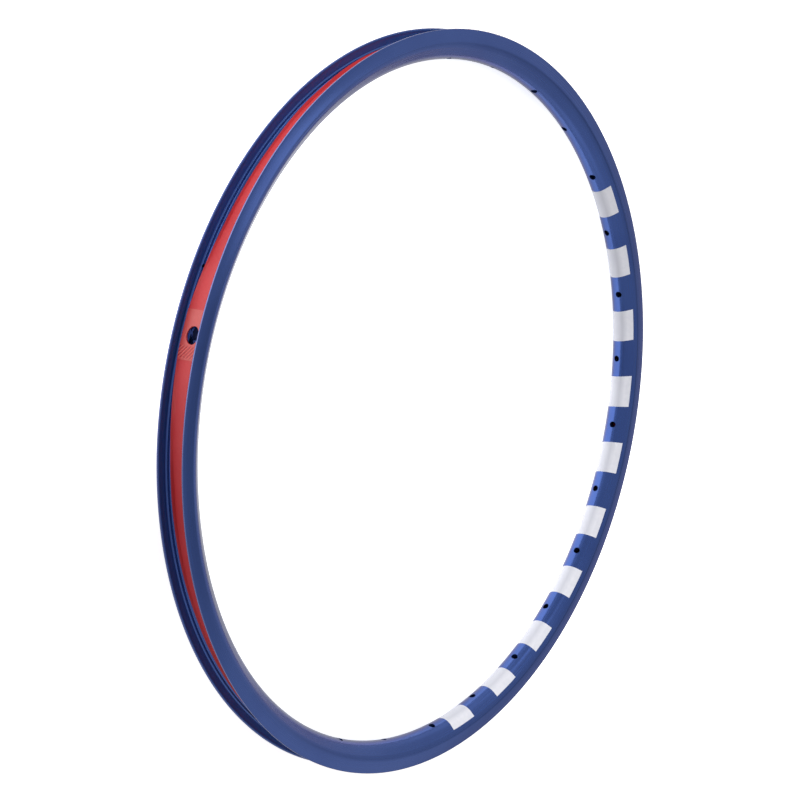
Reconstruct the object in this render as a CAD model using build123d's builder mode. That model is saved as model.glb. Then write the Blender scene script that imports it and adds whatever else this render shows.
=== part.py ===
from build123d import *

import os
from math import atan2, cos, pi, radians, tan

# Bicycle rim for a 20 x 1-1/8 in tyre, with a rim strip in its tyre bed. All sizes are in millimetres.
# The rim lies flat: the wheel's axle is the Z axis, the mid-plane is Z = 0 and the valve is on +X.

# Tyre side of the section
bead_seat_d = 451.0  # diameter of the ledges that the tyre's beads sit on
flange_h = 6.0  # lip above the bead seat
flange_t = 1.3  # flange wall
hook_t = 1.7  # flange at its hooked lip
hook_h = 2.2  # height of the hook, over which the flange thickens
lip_round = 0.5
seat_w = 3.0  # width of each bead seat
well_depth = 2.4  # below the bead seats
well_side_w = 1.4  # width that each sloped side of the well takes up

# Hub side of the section
rim_w = 20.2  # over both flanges
rim_depth = 17.6  # lip to spoke bed
flank_angle = 54.0  # slope of the flanks, from the spoke bed
bed_round = 8.2  # the spoke bed's flats keep to this radius
shoulder_round = 4.0  # between flank and side band

# Walls round the hollow
tyre_wall = 1.2
side_wall = 1.2
flank_wall = 1.8
spoke_wall = 2.6  # behind the spoke holes

# Drilling
spoke_count = 28
spoke_hole_d = 4.4
access_hole_d = 7.6  # across the flats of the hole behind each spoke hole
access_hole_sides = 8
stagger = 1.2  # spoke holes lie by turns above and below the mid-plane
valve_hole_d = 8.5

# Rim strip
strip_t = 1.3
strip_gap = 0.1  # between the strip and the rim
pad_side_gap = 1.3  # between each flange and the pad that lies on the bead seats at the valve
pad_t = 0.9
pad_length = 76.0
pad_oval = 125.0  # length of the oval that gives the pad its bowed edges
strip_hole_d = 10.0
strip_hole_shift = 0.7  # the strip sits a little round from the valve hole

# Radii and heights of the section
half_w = rim_w / 2
seat_r = bead_seat_d / 2
lip_r = seat_r + flange_h
well_r = seat_r - well_depth
bed_r = lip_r - rim_depth
flange_z = half_w - flange_t
well_top_z = flange_z - seat_w
well_floor_z = well_top_z - well_side_w
pad_w = 2 * (flange_z - pad_side_gap)
flank = radians(flank_angle)
well_angle = atan2(well_depth, well_side_w)
corner_shift = tan(well_angle / 2)  # how far the well's corners move for each millimetre of offset
flank_meet_r = bed_r - bed_round * (1 / cos(flank) - 1)  # where the flanks would meet on the mid-plane
shoulder_r = flank_meet_r + half_w * tan(flank)


def mirrored(half):
    """A closed outline from its upper half, given as (radius, height) points from tyre side to hub side."""
    return half + [(r, -z) for r, z in reversed(half) if z > 0]


def flat(radius, turn):
    """The chamfer that turns a corner into one flat, tangent to a round of the given radius."""
    return radius * (tan(turn / 2) - tan(turn / 4))


# Rim: one hollow hoop
outline = [
    (well_r, well_floor_z),
    (seat_r, well_top_z),
    (seat_r, flange_z),
    (lip_r - hook_h, flange_z),
    (lip_r, half_w - hook_t),
    (lip_r, half_w),
    (shoulder_r, half_w),
    (flank_meet_r, 0),
]

hollow_z = half_w - side_wall
hollow_meet_r = flank_meet_r + flank_wall / cos(flank)
hollow_floor_r = bed_r + spoke_wall
hollow = [
    (well_r - tyre_wall, well_floor_z + tyre_wall * corner_shift),
    (seat_r - tyre_wall, hollow_z),
    (hollow_meet_r + hollow_z * tan(flank), hollow_z),
    (hollow_floor_r, (hollow_floor_r - hollow_meet_r) / tan(flank)),
]

# Punch for the hole in the well through which a spoke's nipple is put in
with BuildPart() as punch:
    with BuildSketch(Plane.YZ):
        RegularPolygon(
            access_hole_d / 2,
            access_hole_sides,
            major_radius=False,
            rotation=180 / access_hole_sides,
        )
    extrude(amount=rim_depth)

spoke_pitch = 360 / spoke_count
hollow_mid_r = (hollow_floor_r + well_r - tyre_wall) / 2

with BuildPart() as rim:
    with BuildSketch(Plane.XZ) as section:
        with BuildLine():
            Polyline(*mirrored(outline), close=True)
        make_face()
        chamfer(section.vertices().group_by(Axis.X)[0], flat(bed_round, 2 * flank))
        chamfer(section.vertices().group_by(Axis.X)[0], flat(bed_round, flank))
        for side in (0, -1):
            side_band = section.vertices().group_by(Axis.Y)[side].sort_by(Axis.X)
            chamfer(side_band[0], flat(shoulder_round, pi / 2 - flank))
            chamfer(side_band[-1], flat(lip_round, pi / 2))
        with BuildLine():
            Polyline(*mirrored(hollow), close=True)
        make_face(mode=Mode.SUBTRACT)
    revolve(axis=Axis.Z)
    # Spoke holes from the bed into the hollow, by turns above and below the mid-plane
    for row, height in enumerate((stagger, -stagger)):
        with Locations((0, 0, height)):
            with PolarLocations(hollow_mid_r, spoke_count // 2, start_angle=(row + 0.5) * spoke_pitch):
                Cylinder(
                    spoke_hole_d / 2,
                    rim_depth,
                    rotation=(0, 90, 0),
                    align=(Align.CENTER, Align.CENTER, Align.MAX),
                    mode=Mode.SUBTRACT,
                )
    # Access holes from the well into the hollow, on the mid-plane
    with PolarLocations(hollow_mid_r, spoke_count, start_angle=spoke_pitch / 2):
        add(punch.part, mode=Mode.SUBTRACT)
    # Valve hole through both walls, midway between two spoke holes
    with Locations((hollow_mid_r, 0, 0)):
        Cylinder(valve_hole_d / 2, 2 * rim_depth, rotation=(0, 90, 0), mode=Mode.SUBTRACT)

# Rim strip: a band that lies in the well, with a bowed pad over the bead seats at the valve
slope_run = well_side_w / well_depth
strip_floor_r = well_r + strip_gap
strip_top_r = strip_floor_r + strip_t
strip_floor_z = well_floor_z - strip_gap * corner_shift
pad_r = seat_r + strip_gap
strip_outline = [
    (pad_r + pad_t, half_w),
    (pad_r, half_w),
    (pad_r, strip_floor_z + (pad_r - strip_floor_r) * slope_run),
    (strip_floor_r, strip_floor_z),
]

# All that is cut away above the band, round the pad
with BuildPart() as trim:
    with BuildSketch(Plane.XZ):
        with Locations((strip_top_r, 0)):
            Rectangle(rim_depth, 2 * rim_w, align=(Align.MIN, Align.CENTER))
    revolve(axis=Axis.Z)
    with BuildSketch(Plane.YZ):
        Ellipse(pad_oval / 2, pad_w / 2)
        Rectangle(pad_length, pad_w, mode=Mode.INTERSECT)
    extrude(amount=2 * lip_r, mode=Mode.SUBTRACT)

with BuildPart() as rim_strip:
    with BuildSketch(Plane.XZ):
        with BuildLine():
            Polyline(*mirrored(strip_outline), close=True)
        make_face()
    revolve(axis=Axis.Z)
    add(trim.part, mode=Mode.SUBTRACT)
    with Locations((well_r, strip_hole_shift, 0)):
        Cylinder(strip_hole_d / 2, 2 * rim_depth, rotation=(0, 90, 0), mode=Mode.SUBTRACT)

rim.part.label = "rim"
rim_strip.part.label = "rim_strip"

os.makedirs("parts", exist_ok=True)
export_step(rim.part, "parts/rim.step")
export_step(rim_strip.part, "parts/rim_strip.step")
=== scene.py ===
import math

import bmesh
import bpy
from mathutils import Matrix, Quaternion, Vector


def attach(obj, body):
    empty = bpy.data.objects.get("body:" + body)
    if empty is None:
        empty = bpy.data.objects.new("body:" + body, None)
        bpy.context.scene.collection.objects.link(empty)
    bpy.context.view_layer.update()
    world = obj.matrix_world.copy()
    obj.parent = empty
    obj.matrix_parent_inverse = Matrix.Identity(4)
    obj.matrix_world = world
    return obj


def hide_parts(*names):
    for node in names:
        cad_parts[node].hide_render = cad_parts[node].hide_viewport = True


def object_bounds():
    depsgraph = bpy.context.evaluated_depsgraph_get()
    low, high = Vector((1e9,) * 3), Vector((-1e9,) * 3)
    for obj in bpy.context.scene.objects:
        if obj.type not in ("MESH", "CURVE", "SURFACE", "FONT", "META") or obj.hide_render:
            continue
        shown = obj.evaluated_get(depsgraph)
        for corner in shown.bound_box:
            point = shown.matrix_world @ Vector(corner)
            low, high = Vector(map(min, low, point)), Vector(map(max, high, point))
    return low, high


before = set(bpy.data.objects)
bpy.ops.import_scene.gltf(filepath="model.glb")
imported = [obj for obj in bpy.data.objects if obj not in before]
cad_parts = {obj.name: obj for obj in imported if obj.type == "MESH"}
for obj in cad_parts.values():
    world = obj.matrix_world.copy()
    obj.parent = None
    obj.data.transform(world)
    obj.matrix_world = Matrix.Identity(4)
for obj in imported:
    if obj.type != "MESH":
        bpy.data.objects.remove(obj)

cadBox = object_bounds()
mm = 0.001  # sizes of pieces and patterns are in millimetres, the stage and its lights in metres
fullTurn = 2 * math.pi
noiseLow, noiseHigh = 0.3, 0.7  # nearly all of a noise texture's values lie between these
scene = bpy.context.scene
print("CAD frame loaded")


def linearColour(hexCode):
    parts = [int(hexCode[i:i + 2], 16) / 255 for i in (0, 2, 4)]
    return [p / 12.92 if p <= 0.04045 else ((p + 0.055) / 1.055) ** 2.4 for p in parts] + [1.0]


def addNode(tree, kind, inputs, **settings):
    # inputs go by name or number; a colour Mix has its factor on 0 and its two colours on 6 and 7
    node = tree.nodes.new("ShaderNode" + kind)
    for name, value in settings.items():
        setattr(node, name, value)
    for key, value in inputs.items():
        if isinstance(value, bpy.types.NodeSocket):
            tree.links.new(value, node.inputs[key])
        else:
            node.inputs[key].default_value = value
    return node


def newMaterial(name):
    material = bpy.data.materials.new(name)
    material.use_nodes = True
    return material, material.node_tree, material.node_tree.nodes["Principled BSDF"]


def makePiece(name, bm, material):
    mesh = bpy.data.meshes.new(name)
    bm.to_mesh(mesh)
    bm.free()
    mesh.materials.append(material)
    piece = bpy.data.objects.new(name, mesh)
    scene.collection.objects.link(piece)
    return piece


def joinInto(bm, part):
    mesh = bpy.data.meshes.new("part")
    part.to_mesh(mesh)
    part.free()
    bm.from_mesh(mesh)
    bpy.data.meshes.remove(mesh)


def applyModifier(piece, kind, **settings):
    modifier = piece.modifiers.new(kind.lower(), kind)
    for name, value in settings.items():
        setattr(modifier, name, value)
    with bpy.context.temp_override(object=piece, active_object=piece):
        bpy.ops.object.modifier_apply(modifier=modifier.name)


def smoothShade(piece, sharpAngle):
    piece.data.shade_smooth()
    piece.data.set_sharp_from_angle(angle=math.radians(sharpAngle))


def roundCorner(bm, vert, radius, segments):
    sides = [edge.other_vert(vert).co - vert.co for edge in vert.link_edges]
    reach = radius / math.tan(sides[0].angle(sides[1]) / 2)  # where the round meets the straight sides
    bmesh.ops.bevel(
        bm, geom=[vert], offset=reach, offset_type="ABSOLUTE", segments=segments,
        profile=0.5, affect="VERTICES", material=-1, clamp_overlap=False,
    )


def spinAbout(bm, angle, steps):
    bmesh.ops.spin(
        bm, geom=bm.verts[:] + bm.edges[:], cent=(0, 0, 0), axis=(0, 0, 1),
        angle=angle, steps=steps, use_merge=angle == fullTurn,
    )


def spinHoop(corners, steps):
    # corners are (radius, height, round, segments) in millimetres, in order round one closed outline
    bm = bmesh.new()
    verts = [bm.verts.new((r * mm, 0, z * mm)) for r, z, _, _ in corners]
    bm.faces.new(verts)
    for vert, (_, _, radius, segments) in zip(verts, corners):
        if radius:
            roundCorner(bm, vert, radius * mm, segments)
    bmesh.ops.delete(bm, geom=bm.faces[:], context="FACES_ONLY")
    spinAbout(bm, fullTurn, steps)
    bmesh.ops.recalc_face_normals(bm, faces=bm.faces[:])
    return bm


def turnFaces(bm, outwards):
    # all of an open sheet's faces, turned away from the axle or towards it
    bmesh.ops.recalc_face_normals(bm, faces=bm.faces[:])
    lean = sum(face.normal.xy.dot(face.calc_center_median().xy) for face in bm.faces)
    if (lean > 0) != outwards:
        bmesh.ops.reverse_faces(bm, faces=bm.faces[:])


def addDrill(bm, cut, sides, angle=0.0, height=0.0):
    # cut is (diameter, radius of its middle, length) in millimetres, and points away from the axle
    diameter, radius, length = cut
    place = (
        Matrix.Rotation(angle, 4, "Z")
        @ Matrix.Translation((radius * mm, 0, height * mm))
        @ Matrix.Rotation(math.pi / 2, 4, "Y")
    )
    bmesh.ops.create_cone(
        bm, cap_ends=True, segments=sides, radius1=diameter / 2 * mm, radius2=diameter / 2 * mm,
        depth=length * mm, matrix=place,
    )


# Camera: the photograph's own viewing angle, with the rim standing on its edge in the picture
cameraView = {
    "eye": (0.87180, 0.05535, 0.63767),
    "aim": (0.0390, 0.0032, -0.00035),
    "roll": 100.767,
    "lens": 77.6,
    "sensor": 36,
}
cameraData = bpy.data.cameras.new("camera")
cameraData.lens = cameraView["lens"]
cameraData.sensor_width = cameraView["sensor"]
camera = bpy.data.objects.new("camera", cameraData)
scene.collection.objects.link(camera)
sight = Vector(cameraView["aim"]) - Vector(cameraView["eye"])
roll = Quaternion((0, 0, 1), math.radians(cameraView["roll"]))
camera.location = cameraView["eye"]
camera.rotation_mode = "QUATERNION"
camera.rotation_quaternion = sight.to_track_quat("-Z", "Y") @ roll
scene.camera = camera
print("camera placed")


# Blue anodised aluminium, extruded and rolled into a hoop: a satin sheen drawn out along the die
# lines, and a clear oxide skin that lets pale reflections sit on top of the dye
anodised = {
    "dye": "274588",
    "thinDye": "314F92",
    "thinShare": 0.6,  # the most that a patch goes over to the thin dye
    "cloud": 35,  # size of the patches
    "lineWidth": 0.9,  # die lines are nearer 0.1 mm, too fine to show, so they are drawn this coarse
    "lineLength": 90,
    "lineRadius": 225,  # the hoop's mean radius, where that length is measured
    "lineRange": (0.25, 0.75),  # part of the noise that takes a line from its smoothest to its roughest
    "lineBump": (0.12, 0.02),  # strength, depth
    "roughness": (0.2, 0.3),
    "metallic": 0.85,
    "skin": 0.68,  # weight of the oxide
    "skinRoughness": 0.25,
    "grazing": "6C6C72",  # the dye dulls the sheen at grazing angles too
    "wearAndHighlight": "575C86",  # the crown of each lip, where handling has thinned the dye, and paler still as a painted highlight along the lip
    "wearAndHighlightRadius": (231.15, 231.45),
    "wearAndHighlightShare": 0.7,
}
# Between the flanges the finish is matter and less metallic, and a brighter blue is painted there as painted
# light that brightens the channel
channelMattAndPaintedLight = {
    # painted light: a brighter blue than outside, to brighten the channel
    "dye": "255296",
    "halfWidth": (9.0, 9.3),  # each pair gives where the change of finish starts and where it ends
    "seatRadius": (225.8, 227.2),
    "lipRadius": (230.8, 231.1),
    "addedRoughness": 0.25,
    "metallic": 0.65,
}
blueAluminium, tree, shader = newMaterial("Blue anodised extruded aluminium")
place = addNode(tree, "TexCoord", {}).outputs["Object"]
axes = addNode(tree, "SeparateXYZ", {0: place})
flatPlace = addNode(tree, "CombineXYZ", {0: axes.outputs[0], 1: axes.outputs[1]}).outputs[0]
radius = addNode(tree, "VectorMath", {0: flatPlace}, operation="LENGTH").outputs["Value"]
outward = addNode(tree, "VectorMath", {0: flatPlace}, operation="NORMALIZE").outputs[0]
around = addNode(tree, "SeparateXYZ", {0: outward})
perLine = 1 / (anodised["lineWidth"] * mm)
perLength = anodised["lineRadius"] / anodised["lineLength"]
acrossLines = addNode(tree, "Math", {0: radius, 1: perLine}, operation="MULTIPLY").outputs[0]
throughLines = addNode(tree, "Math", {0: axes.outputs[2], 1: perLine}, operation="MULTIPLY").outputs[0]
alongX = addNode(tree, "Math", {0: around.outputs[0], 1: perLength}, operation="MULTIPLY").outputs[0]
alongY = addNode(tree, "Math", {0: around.outputs[1], 1: perLength}, operation="MULTIPLY").outputs[0]
linePlace = addNode(tree, "CombineXYZ", {0: acrossLines, 1: throughLines, 2: alongX}).outputs[0]
dieLines = addNode(
    tree, "TexNoise", {"Vector": linePlace, "W": alongY, "Scale": 1.0, "Detail": 2.0}, noise_dimensions="4D",
).outputs["Fac"]
cloud = addNode(
    tree, "TexNoise", {"Vector": place, "Scale": 1 / (anodised["cloud"] * mm), "Detail": 2.0},
).outputs["Fac"]
thinPatch = addNode(
    tree, "MapRange", {0: cloud, 1: noiseLow, 2: noiseHigh, 3: 0.0, 4: anodised["thinShare"]},
).outputs[0]
dyeColour = addNode(
    tree, "Mix", {0: thinPatch, 6: linearColour(anodised["dye"]), 7: linearColour(anodised["thinDye"])},
    data_type="RGBA",
).outputs[2]
# wear and painted highlight: from this radius out, the lip's crown is mixed towards a paler grey-blue
start, full = anodised["wearAndHighlightRadius"]
lipWearAndPaintedHighlight = addNode(
    tree, "MapRange", {0: radius, 1: start * mm, 2: full * mm, 3: 0.0, 4: anodised["wearAndHighlightShare"]},
).outputs[0]
metalColour = addNode(
    tree, "Mix", {0: lipWearAndPaintedHighlight, 6: dyeColour, 7: linearColour(anodised["wearAndHighlight"])}, data_type="RGBA",
).outputs[2]
low, high = anodised["lineRange"]
smooth, rough = anodised["roughness"]
satin = addNode(tree, "MapRange", {0: dieLines, 1: low, 2: high, 3: smooth, 4: rough}).outputs[0]
offMiddle = addNode(tree, "Math", {0: axes.outputs[2]}, operation="ABSOLUTE").outputs[0]
inner = 1.0
for measure, limits, (before, after) in (
    (offMiddle, channelMattAndPaintedLight["halfWidth"], (1.0, 0.0)),
    (radius, channelMattAndPaintedLight["seatRadius"], (0.0, 1.0)),
    (radius, channelMattAndPaintedLight["lipRadius"], (1.0, 0.0)),
):
    start, end = limits
    within = addNode(
        tree, "MapRange", {0: measure, 1: start * mm, 2: end * mm, 3: before, 4: after},
    ).outputs[0]
    inner = addNode(tree, "Math", {0: inner, 1: within}, operation="MULTIPLY").outputs[0]
innerDull = addNode(
    tree, "Math", {0: inner, 1: channelMattAndPaintedLight["addedRoughness"], 2: satin}, operation="MULTIPLY_ADD",
).outputs[0]
innerMatt = addNode(tree, "MapRange", {0: inner, 3: anodised["metallic"], 4: channelMattAndPaintedLight["metallic"]}).outputs[0]
# painted light: the channel between the flanges takes the brighter blue
colourWithPaintedChannelLight = addNode(
    tree, "Mix", {0: inner, 6: metalColour, 7: linearColour(channelMattAndPaintedLight["dye"])}, data_type="RGBA",
).outputs[2]
strength, depth = anodised["lineBump"]
lineBump = addNode(
    tree, "Bump", {"Height": dieLines, "Strength": strength, "Distance": depth * mm},
).outputs[0]
tree.links.new(colourWithPaintedChannelLight, shader.inputs["Base Color"])
tree.links.new(innerDull, shader.inputs["Roughness"])
tree.links.new(lineBump, shader.inputs["Normal"])
tree.links.new(innerMatt, shader.inputs["Metallic"])
shader.inputs["Specular Tint"].default_value = linearColour(anodised["grazing"])
shader.inputs["Coat Weight"].default_value = anodised["skin"]
shader.inputs["Coat Roughness"].default_value = anodised["skinRoughness"]

# The same aluminium inside the hollow, dark and dull: painted shade for the shadow inside the hollow
hollowPaintedShade = {"colour": "34457A", "pale": "45568C", "cloud": 9, "roughness": (0.55, 0.7), "metallic": 0.3}
hollowShadeAluminium, tree, shader = newMaterial("Dull aluminium with painted shade")
place = addNode(tree, "TexCoord", {}).outputs["Object"]
cloud = addNode(
    tree, "TexNoise", {"Vector": place, "Scale": 1 / (hollowPaintedShade["cloud"] * mm), "Detail": 3.0},
).outputs["Fac"]
hollowShadeColour = addNode(
    tree, "Mix", {0: cloud, 6: linearColour(hollowPaintedShade["colour"]), 7: linearColour(hollowPaintedShade["pale"])},
    data_type="RGBA",
).outputs[2]
smooth, rough = hollowPaintedShade["roughness"]
hollowDull = addNode(
    tree, "MapRange", {0: cloud, 1: noiseLow, 2: noiseHigh, 3: smooth, 4: rough},
).outputs[0]
tree.links.new(hollowShadeColour, shader.inputs["Base Color"])
tree.links.new(hollowDull, shader.inputs["Roughness"])
shader.inputs["Metallic"].default_value = hollowPaintedShade["metallic"]
print("aluminium ready")


# Red PVC band, extruded flat and welded into a loop: a dull, slightly milky skin with a fine grain
stripPlastic = {
    "colour": "A41A20",
    "pale": "AD292D",
    "paleShare": 0.5,  # the most that a milky patch goes over to the pale colour
    "cloud": 18,  # size of the patches
    "grain": 0.8,
    "grainBump": (0.2, 0.03),  # strength, depth
    "roughness": (0.42, 0.56),
    "ior": 1.53,
    "shine": 0.35,  # the grain breaks it up
}
redPlastic, tree, shader = newMaterial("Red extruded soft PVC")
place = addNode(tree, "TexCoord", {}).outputs["Object"]
perGrain = 1 / (stripPlastic["grain"] * mm)
grain = addNode(tree, "TexNoise", {"Vector": place, "Scale": perGrain, "Detail": 3.0}).outputs["Fac"]
cloud = addNode(
    tree, "TexNoise", {"Vector": place, "Scale": 1 / (stripPlastic["cloud"] * mm), "Detail": 2.0},
).outputs["Fac"]
milky = addNode(
    tree, "MapRange", {0: cloud, 1: noiseLow, 2: noiseHigh, 3: 0.0, 4: stripPlastic["paleShare"]},
).outputs[0]
plasticColour = addNode(
    tree, "Mix", {0: milky, 6: linearColour(stripPlastic["colour"]), 7: linearColour(stripPlastic["pale"])},
    data_type="RGBA",
).outputs[2]
smooth, rough = stripPlastic["roughness"]
dull = addNode(tree, "MapRange", {0: grain, 1: noiseLow, 2: noiseHigh, 3: smooth, 4: rough}).outputs[0]
strength, depth = stripPlastic["grainBump"]
grainBump = addNode(
    tree, "Bump", {"Height": grain, "Strength": strength, "Distance": depth * mm},
).outputs[0]
tree.links.new(plasticColour, shader.inputs["Base Color"])
tree.links.new(dull, shader.inputs["Roughness"])
tree.links.new(grainBump, shader.inputs["Normal"])
shader.inputs["IOR"].default_value = stripPlastic["ior"]
shader.inputs["Specular IOR Level"].default_value = stripPlastic["shine"]

# The same PVC where the band's ends were lapped and heat-welded: shinier, with the slanting ribs of the
# welding die pressed into it on one side of the valve hole, with painted highlights on their crests and
# painted shade between them
weldMark = {
    "colour": "8C1216",
    "pale": "C44A42",
    "paleShare": 0.8,  # on the crest of a rib, as a painted highlight
    "ribPitch": 1.7,
    "ribFrom": 7.5,  # along the band, from the valve
    "ribTo": 14.0,
    "ribFade": 1.0,
    "ribBump": (0.8, 0.15),  # strength, depth
    "grainShare": 0.1,  # the PVC's own grain, against the ribs
    "roughness": 0.4,
}
weldedPlastic, tree, shader = newMaterial("Red heat-welded soft PVC")
place = addNode(tree, "TexCoord", {}).outputs["Object"]
axes = addNode(tree, "SeparateXYZ", {0: place})
along, across = axes.outputs[1], axes.outputs[2]  # as the band runs at the valve
grain = addNode(tree, "TexNoise", {"Vector": place, "Scale": perGrain, "Detail": 3.0}).outputs["Fac"]
slant = addNode(tree, "Math", {0: along, 1: across}, operation="ADD").outputs[0]
perRib = fullTurn / (weldMark["ribPitch"] * math.sqrt(2) * mm)
ribTurn = addNode(tree, "Math", {0: slant, 1: perRib}, operation="MULTIPLY").outputs[0]
ribs = addNode(tree, "Math", {0: ribTurn}, operation="SINE").outputs[0]
for edge, before, after in ((weldMark["ribFrom"], 0.0, 1.0), (weldMark["ribTo"], 1.0, 0.0)):
    ribFade = addNode(
        tree, "MapRange",
        {0: along, 1: edge * mm, 2: (edge + weldMark["ribFade"]) * mm, 3: before, 4: after},
    ).outputs[0]
    ribs = addNode(tree, "Math", {0: ribs, 1: ribFade}, operation="MULTIPLY").outputs[0]
ribHeight = addNode(
    tree, "Math", {0: grain, 1: weldMark["grainShare"], 2: ribs}, operation="MULTIPLY_ADD",
).outputs[0]
strength, depth = weldMark["ribBump"]
ribBump = addNode(
    tree, "Bump", {"Height": ribHeight, "Strength": strength, "Distance": depth * mm},
).outputs[0]
# painted highlight on each rib's crest, and painted shade in its trough
ribPaintedLight = addNode(
    tree, "MapRange", {0: ribs, 1: -1.0, 2: 1.0, 3: 0.0, 4: weldMark["paleShare"]},
).outputs[0]
weldColour = addNode(
    tree, "Mix", {0: ribPaintedLight, 6: linearColour(weldMark["colour"]), 7: linearColour(weldMark["pale"])},
    data_type="RGBA",
).outputs[2]
tree.links.new(weldColour, shader.inputs["Base Color"])
tree.links.new(ribBump, shader.inputs["Normal"])
shader.inputs["Roughness"].default_value = weldMark["roughness"]
shader.inputs["IOR"].default_value = stripPlastic["ior"]
print("PVC ready")


# White screen-printing ink: chalky, thin enough that its film thickness shows as faint mottling
ink = {
    "colour": "D6D6DC",
    "thin": "CACCD4",
    "thinShare": 0.7,
    "thinRange": (0.35, 0.75),  # part of the noise that takes the film from full to thin
    "mottle": 3.0,
    "crownShade": "B0B1B9",  # painted shade: the print is darker on the crown of the bed and below it
    "crownShadeHeight": (3.0, 6.0),  # the painted shade starts to lift at this height above the mid-plane, and is gone by that
    "roughness": (0.42, 0.58),
}
whiteInk, tree, shader = newMaterial("White screen-printed ink")
place = addNode(tree, "TexCoord", {}).outputs["Object"]
film = addNode(
    tree, "TexNoise", {"Vector": place, "Scale": 1 / (ink["mottle"] * mm), "Detail": 4.0},
).outputs["Fac"]
low, high = ink["thinRange"]
thinFilm = addNode(tree, "MapRange", {0: film, 1: low, 2: high, 3: 0.0, 4: ink["thinShare"]}).outputs[0]
inkColour = addNode(
    tree, "Mix", {0: thinFilm, 6: linearColour(ink["colour"]), 7: linearColour(ink["thin"])},
    data_type="RGBA",
).outputs[2]
height = addNode(tree, "SeparateXYZ", {0: place}).outputs[2]
start, full = ink["crownShadeHeight"]
# painted shade: below this height the print is mixed towards a darker grey
crownPaintedShade = addNode(tree, "MapRange", {0: height, 1: start * mm, 2: full * mm, 3: 1.0, 4: 0.0}).outputs[0]
printColour = addNode(
    tree, "Mix", {0: crownPaintedShade, 6: inkColour, 7: linearColour(ink["crownShade"])}, data_type="RGBA",
).outputs[2]
smooth, rough = ink["roughness"]
chalky = addNode(tree, "MapRange", {0: film, 1: noiseLow, 2: noiseHigh, 3: smooth, 4: rough}).outputs[0]
tree.links.new(printColour, shader.inputs["Base Color"])
tree.links.new(chalky, shader.inputs["Roughness"])
print("ink ready")


# Rim: a hooked double-wall section with its true rounds, spun into a hoop, then drilled
rimSection = {
    "tyreSide": [  # radius, height, round, segments, from the well's floor out to the lip
        (223.1, 4.4, 0.8, 3),
        (225.5, 5.8, 0.6, 3),
        (225.5, 8.8, 1.2, 5),
        (229.3, 8.8, 1.5, 2),
        (231.5, 8.4, 0.9, 5),
        (231.5, 10.1, 0.5, 4),
    ],
    "shoulder": (7.0, 10),  # round, segments
    "bed": (8.2, 24),
    "bedRadius": 213.9,
    "flankAngle": 54,
    "tyreWall": 1.2,  # the walls round the hollow
    "sideWall": 1.2,
    "flankWall": 1.8,
    "spokeWall": 2.6,
    "steps": 448,  # sixteen to each spoke, so that the drilling falls alike on the mesh
    "sharpAngle": 30,
}
drilling = {
    "count": 28,
    "stagger": 1.2,
    "spoke": (4.4, 213.5, 8),  # diameter, radius of the cut's middle, length
    "access": (7.6, 224.0, 8),
    "valve": (8.5, 218, 40),
    "vent": (2.2, 224.5, 4),  # a small hole from one bead seat into the hollow
    "ventPlace": (-9.1, -7.0),  # angle, height
    "sides": 24,
}


def bothSides(half, middle=()):
    return half + list(middle) + [(r, -z, radius, segments) for r, z, radius, segments in reversed(half)]


wellRadius, wellHeight, _, _ = rimSection["tyreSide"][0]
seatRadius, brimHeight, _, _ = rimSection["tyreSide"][1]
_, halfWidth, _, _ = rimSection["tyreSide"][-1]
bedRadius = rimSection["bedRadius"]
bedRound, bedSegments = rimSection["bed"]
flankAngle = math.radians(rimSection["flankAngle"])
flankRise = math.tan(flankAngle)
bedApex = bedRadius - bedRound * (1 / math.cos(flankAngle) - 1)  # where the two flanks would meet
shoulder = (bedApex + halfWidth * flankRise, halfWidth, *rimSection["shoulder"])
rimOutline = bothSides(rimSection["tyreSide"] + [shoulder], [(bedApex, 0.0, bedRound, bedSegments)])

tyreWall = rimSection["tyreWall"]
wellAngle = math.atan2(seatRadius - wellRadius, brimHeight - wellHeight)
hollowHeight = halfWidth - rimSection["sideWall"]
hollowApex = bedApex + rimSection["flankWall"] / math.cos(flankAngle)
hollowFloor = bedRadius + rimSection["spokeWall"]
hollowOutline = bothSides([
    (wellRadius - tyreWall, wellHeight + tyreWall * math.tan(wellAngle / 2), 0, 0),
    (seatRadius - tyreWall, hollowHeight, 0, 0),
    (hollowApex + hollowHeight * flankRise, hollowHeight, 0, 0),
    (hollowFloor, (hollowFloor - hollowApex) / flankRise, 0, 0),
])

shell = spinHoop(rimOutline, rimSection["steps"])
hollow = spinHoop(hollowOutline, rimSection["steps"])
bmesh.ops.reverse_faces(hollow, faces=hollow.faces[:])  # the hollow's wall faces into the hollow
for face in hollow.faces:
    face.material_index = 1
joinInto(shell, hollow)
rim = makePiece("rim_hoop", shell, blueAluminium)
rim.data.materials.append(hollowShadeAluminium)

drills = bmesh.new()
pitch = fullTurn / drilling["count"]
for n in range(drilling["count"]):
    angle = (n + 0.5) * pitch
    side = drilling["stagger"] * (1 if n % 2 == 0 else -1)
    addDrill(drills, drilling["spoke"], drilling["sides"], angle, side)
    addDrill(drills, drilling["access"], drilling["sides"], angle)
addDrill(drills, drilling["valve"], drilling["sides"])
ventAngle, ventHeight = drilling["ventPlace"]
addDrill(drills, drilling["vent"], drilling["sides"], math.radians(ventAngle), ventHeight)
drillSet = makePiece("drill_set", drills, blueAluminium)
applyModifier(rim, "BOOLEAN", operation="DIFFERENCE", solver="EXACT", object=drillSet)
bpy.data.objects.remove(drillSet)
smoothShade(rim, rimSection["sharpAngle"])
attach(rim, "root")
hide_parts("rim")
print("rim drilled:", len(rim.data.polygons), "faces")


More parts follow.
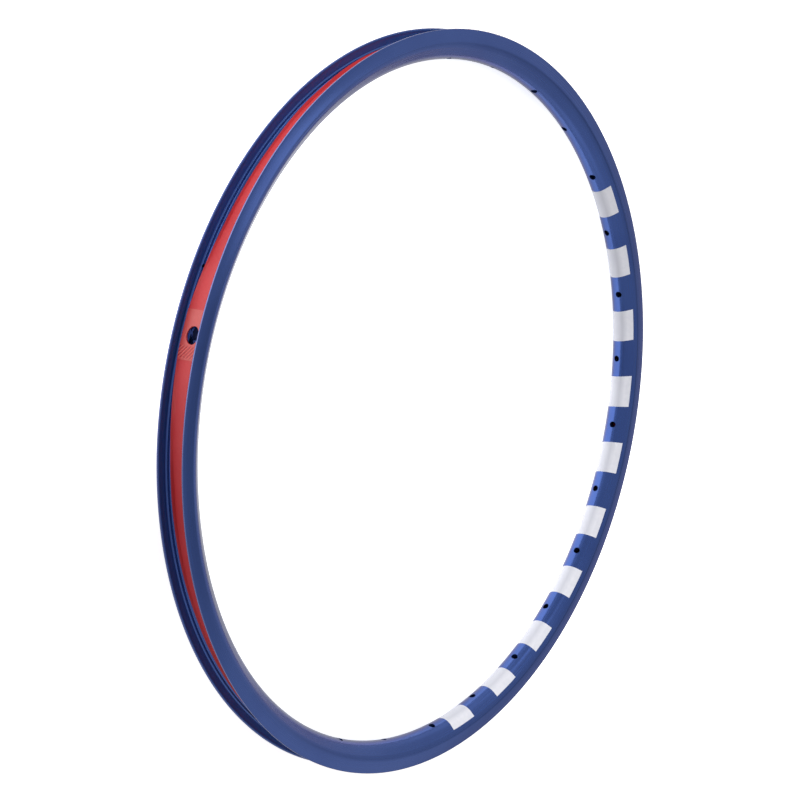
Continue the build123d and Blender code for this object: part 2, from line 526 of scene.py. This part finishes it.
# Rim strip: a thin band in the well that widens and rises onto the bead seats at the valve
strip = {
    "sheet": [(225.1, 5.15), (223.62, 4.25), (223.62, -4.25), (225.1, -5.15)],  # radius, height
    "thickness": 0.7,
    "cuts": 3,
    "steps": 360,
    "sharpAngle": 30,
    "radius": 224,  # where lengths along it are measured
    "padRadius": 225.98,
    "padHalfWidth": 7.35,
    "padFade": (62, 84),  # how far either way the band takes to sink back into the well
    "padRise": 0.6,  # under 1, so it sinks later than it narrows
    "laid": [  # angle, width: it was laid by hand, and rides a little up the well's sides here and there
        (-180, 1.0), (-150, 1.03), (-118, 0.97), (-84, 1.02), (-68, 0.98), (-52, 1.2), (-40, 1.04),
        (-28, 0.91), (-10, 1.0), (20, 1.06), (32, 1.0), (43, 0.94), (66, 1.02), (98, 0.97), (140, 1.03),
        (180, 1.0),
    ],
    "edgeRise": 4.6,  # how far an edge rises for each share that the band is wider
    "hole": (10.0, 226, 30),  # diameter, radius of the cut's middle, length
    "holeWidth": 8.6,  # less than its length: the band was stretched a little when it was laid
    "holeShift": (2.0, 0.6),  # along and across, from the valve hole
    "holeSides": 40,
}


def smoothStep(share):
    share = min(max(share, 0), 1)
    return share * share * (3 - 2 * share)


def padShare(angle):
    fade = strip["padFade"][1 if angle > 0 else 0]
    return smoothStep(1 - abs(math.radians(angle)) * strip["radius"] / fade)


def laidWidth(angle):
    for (a, wide), (b, after) in zip(strip["laid"], strip["laid"][1:]):
        if a <= angle <= b:
            return wide + (after - wide) * smoothStep((angle - a) / (b - a))


band = bmesh.new()
verts = [band.verts.new((r * mm, 0, z * mm)) for r, z in strip["sheet"]]
edges = [band.edges.new(pair) for pair in zip(verts, verts[1:])]
bmesh.ops.subdivide_edges(band, edges=edges, cuts=strip["cuts"])
spinAbout(band, fullTurn, strip["steps"])
edgeRadius, edgeHeight = strip["sheet"][0]
lowRadius, _ = strip["sheet"][1]
for vert in band.verts:
    angle = math.degrees(math.atan2(vert.co.y, vert.co.x))
    share = padShare(angle)
    wide = laidWidth(angle)
    reach = math.hypot(vert.co.x, vert.co.y) / mm
    turnedUp = (reach - lowRadius) / (edgeRadius - lowRadius)  # 1 at the band's edges
    laid = reach + turnedUp * (wide - 1) * strip["edgeRise"]
    lift = (laid + share ** strip["padRise"] * (strip["padRadius"] - laid)) / reach
    spread = wide + share * (strip["padHalfWidth"] / edgeHeight - wide)
    vert.co = (vert.co.x * lift, vert.co.y * lift, vert.co.z * spread)
turnFaces(band, outwards=True)
rimStrip = makePiece("rim_strip_band", band, redPlastic)
applyModifier(rimStrip, "SOLIDIFY", thickness=strip["thickness"] * mm, offset=0.0, use_even_offset=True)

punch = bmesh.new()
addDrill(punch, strip["hole"], strip["holeSides"])
bmesh.ops.scale(punch, verts=punch.verts[:], vec=(1, 1, strip["holeWidth"] / strip["hole"][0]))
bmesh.ops.translate(punch, verts=punch.verts[:], vec=Vector((0, *strip["holeShift"])) * mm)
holePunch = makePiece("hole_punch", punch, redPlastic)
applyModifier(rimStrip, "BOOLEAN", operation="DIFFERENCE", solver="EXACT", object=holePunch)
smoothShade(rimStrip, strip["sharpAngle"])
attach(rimStrip, "root")
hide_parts("rim_strip")
print("strip laid:", len(rimStrip.data.polygons), "faces")


# Lap of the strip's two ends, over the valve hole
lap = {
    "from": -3.0,  # degrees
    "to": 3.9,
    "radius": 226.42,
    "halfWidth": 7.2,
    "thickness": 0.12,
    "cuts": 5,
    "steps": 24,
    "sharpAngle": 30,
}
weld = bmesh.new()
turn = Matrix.Rotation(math.radians(lap["from"]), 3, "Z")
ends = [Vector((lap["radius"] * mm, 0, side * lap["halfWidth"] * mm)) for side in (1, -1)]
verts = [weld.verts.new(turn @ end) for end in ends]
bmesh.ops.subdivide_edges(weld, edges=[weld.edges.new(verts)], cuts=lap["cuts"])
spinAbout(weld, math.radians(lap["to"] - lap["from"]), lap["steps"])
turnFaces(weld, outwards=True)
stripLap = makePiece("rim_strip_lap", weld, weldedPlastic)
applyModifier(stripLap, "SOLIDIFY", thickness=lap["thickness"] * mm, offset=0.0, use_even_offset=True)
applyModifier(stripLap, "BOOLEAN", operation="DIFFERENCE", solver="EXACT", object=holePunch)
bpy.data.objects.remove(holePunch)
smoothShade(stripLap, lap["sharpAngle"])
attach(stripLap, "root")
print("lap welded")


# White bars printed on the spoke bed, one in each of ten gaps between spoke holes
bars = {
    "first": 9,  # gaps are counted round from the valve's
    "last": 18,
    "length": 22.0,
    "radius": 214,  # of the bed, where that length is measured
    "halfWidth": 8.6,  # across the bed and up both flanks, to just short of the shoulders
    "slant": 0.12,  # how far the ends lean, along for across
    "film": 0.03,
    "filmOffset": -0.6,  # Solidify's: most of the film lies behind its sheet, against the bed
    "segments": 16,
    "steps": 10,
    "sharpAngle": 40,
}
apexRadius = bedApex - bars["film"] / math.cos(flankAngle)
tipRadius = apexRadius + bars["halfWidth"] * flankRise
tips = [(tipRadius, bars["halfWidth"]), (apexRadius, 0.0), (tipRadius, -bars["halfWidth"])]
sweep = bars["length"] / bars["radius"]
printed = bmesh.new()
for gap in range(bars["first"], bars["last"] + 1):
    stroke = bmesh.new()
    verts = [stroke.verts.new((r * mm, 0, z * mm)) for r, z in tips]
    for pair in zip(verts, verts[1:]):
        stroke.edges.new(pair)
    roundCorner(stroke, verts[1], (bedRound + bars["film"]) * mm, bars["segments"])
    turn = Matrix.Rotation(gap * pitch - sweep / 2, 3, "Z")
    bmesh.ops.rotate(stroke, verts=stroke.verts[:], cent=(0, 0, 0), matrix=turn)
    spinAbout(stroke, sweep, bars["steps"])
    for vert in stroke.verts:  # lean the ends
        vert.co = Matrix.Rotation(bars["slant"] * vert.co.z / (bars["radius"] * mm), 3, "Z") @ vert.co
    turnFaces(stroke, outwards=False)
    joinInto(printed, stroke)
rimBars = makePiece("rim_bars", printed, whiteInk)
applyModifier(rimBars, "SOLIDIFY", thickness=bars["film"] * mm, offset=bars["filmOffset"])
smoothShade(rimBars, bars["sharpAngle"])
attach(rimBars, "root")
print("bars printed:", len(rimBars.data.polygons), "faces")


# Floor: a white acrylic light table, so pale that it runs out to white and hardly takes a shadow; the pools
# of brighter and dimmer glow in it are painted light and painted shade
floorSheet = {
    "size": 8.0,
    "colour": "E4E4E4",
    "pale": "ECECEC",
    "cloud": 16.667,
    "glow": 0.68,
    "fade": (0.5, 1.8, -0.4),  # full within, dimmest beyond, change of glow
    "paintedLightPools": [  # x, y, full within, none beyond, change of glow: pools of painted light, or of painted shade where the change is below zero, that the rim picks up
        (-0.19, 0.03, 0.05, 0.2, 0.9),
        (0.29, -0.12, 0.08, 0.26, 1.5),
        (-0.115, -0.155, 0.03, 0.11, 0.3),
        (0.315, 0.11, 0.05, 0.13, -0.25),
        (0.13, -0.11, 0.04, 0.12, -0.3),
        (0.06, 0.165, 0.04, 0.12, -0.18),
        (0.1, 0.235, 0.05, 0.13, 0.14),
    ],
}
floorHeight = cadBox[0][2]  # the rim lies on it
whiteAcrylic, tree, shader = newMaterial("White matt lit acrylic")
place = addNode(tree, "TexCoord", {}).outputs["Object"]
cloud = addNode(
    tree, "TexNoise", {"Vector": place, "Scale": 1 / (floorSheet["cloud"] * mm), "Detail": 2.0},
).outputs["Fac"]
sheetTone = addNode(
    tree, "Mix", {0: cloud, 6: linearColour(floorSheet["colour"]), 7: linearColour(floorSheet["pale"])},
    data_type="RGBA",
).outputs[2]
fromMiddle = addNode(tree, "VectorMath", {0: place}, operation="LENGTH").outputs["Value"]
near, far, change = floorSheet["fade"]
glow = addNode(
    tree, "MapRange",
    {0: fromMiddle, 1: near, 2: far, 3: floorSheet["glow"], 4: floorSheet["glow"] + change},
    interpolation_type="SMOOTHSTEP",
).outputs[0]
# each pool adds painted light, or painted shade, to the floor's glow
for x, y, near, far, change in floorSheet["paintedLightPools"]:
    away = addNode(
        tree, "VectorMath", {0: place, 1: (x, y, floorHeight)}, operation="DISTANCE",
    ).outputs["Value"]
    glowPool = addNode(
        tree, "MapRange", {0: away, 1: near, 2: far, 3: change, 4: 0.0}, interpolation_type="SMOOTHSTEP",
    ).outputs[0]
    glow = addNode(tree, "Math", {0: glow, 1: glowPool}, operation="ADD").outputs[0]
tree.links.new(sheetTone, shader.inputs["Base Color"])
tree.links.new(glow, shader.inputs["Emission Strength"])
shader.inputs["Emission Color"].default_value = (1, 1, 1, 1)
shader.inputs["Roughness"].default_value = 1.0
shader.inputs["Specular IOR Level"].default_value = 0.0
sheet = bmesh.new()
bmesh.ops.create_grid(
    sheet, x_segments=2, y_segments=2, size=floorSheet["size"] / 2,
    matrix=Matrix.Translation((0, 0, floorHeight)),
)
floor = makePiece("floor", sheet, whiteAcrylic)
print("floor laid")


# Light: an even pale surround, with paler and darker cards in it
surround = {
    "colour": "FDFDFF",
    "level": 0.63,
    "horizon": (30, 16, 0.25),  # starts at this elevation, is full by this one, change of level
    "cards": [  # azimuth, elevation, reach in degrees, change of level
        (179.5, 44, 12, -0.36),
        (178, 21, 12, 0.15),
        (35, 8, 40, -0.2),
        (-105, 32, 35, 0.12),
        (105, 34, 35, 0.18),
    ],
}
world = bpy.data.worlds.new("surround")
world.use_nodes = True
tree = world.node_tree
skyward = addNode(tree, "TexCoord", {}).outputs["Generated"]
start, full, change = surround["horizon"]
rise = addNode(tree, "SeparateXYZ", {0: skyward}).outputs[2]
level = addNode(
    tree, "MapRange",
    {
        0: rise, 1: math.sin(math.radians(start)), 2: math.sin(math.radians(full)),
        3: surround["level"], 4: surround["level"] + change,
    },
    interpolation_type="SMOOTHSTEP",
).outputs[0]
for azimuth, elevation, reach, change in surround["cards"]:
    a = math.radians(azimuth)
    e = math.radians(elevation)
    cardWay = (math.cos(e) * math.cos(a), math.cos(e) * math.sin(a), math.sin(e))
    facing = addNode(tree, "VectorMath", {0: skyward, 1: cardWay}, operation="DOT_PRODUCT").outputs["Value"]
    card = addNode(
        tree, "MapRange", {0: facing, 1: math.cos(math.radians(reach)), 2: 1.0, 3: 0.0, 4: change},
        interpolation_type="SMOOTHSTEP",
    ).outputs[0]
    level = addNode(tree, "Math", {0: level, 1: card}, operation="ADD").outputs[0]
background = tree.nodes["Background"]
background.inputs["Color"].default_value = linearColour(surround["colour"])
tree.links.new(level, background.inputs["Strength"])
scene.world = world

# Soft boxes: a broad fill from one side, and three small ones that gleam on the side band
softBoxes = {  # place, aim, size, watts, whether it shows as a gleam
    "fill": ((0.25, -1.4, 0.5), (0.15, -0.05, 0.0), 0.9, 18, False),
    "gleam": ((-0.157, -0.175, 0.345), (0.2065, -0.0919, 0.0101), 0.13, 0.06, True),
    "upper": ((-0.313, -0.347, 0.304), (0.07, -0.215, 0.01), 0.24, 0.035, True),
    "lower": ((-0.321, 0.298, 0.311), (0.07, 0.215, 0.01), 0.24, 0.065, True),
}
for name, (spot, aim, size, watts, gleams) in softBoxes.items():
    lightData = bpy.data.lights.new(name, "AREA")
    lightData.size = size
    lightData.energy = watts
    softBox = bpy.data.objects.new(name, lightData)
    softBox.location = spot
    softBox.rotation_mode = "QUATERNION"
    softBox.rotation_quaternion = (Vector(aim) - Vector(spot)).to_track_quat("-Z", "Y")
    softBox.visible_glossy = gleams
    softBox.visible_camera = False
    scene.collection.objects.link(softBox)
scene.view_settings.view_transform = "Standard"
print("stage lit")
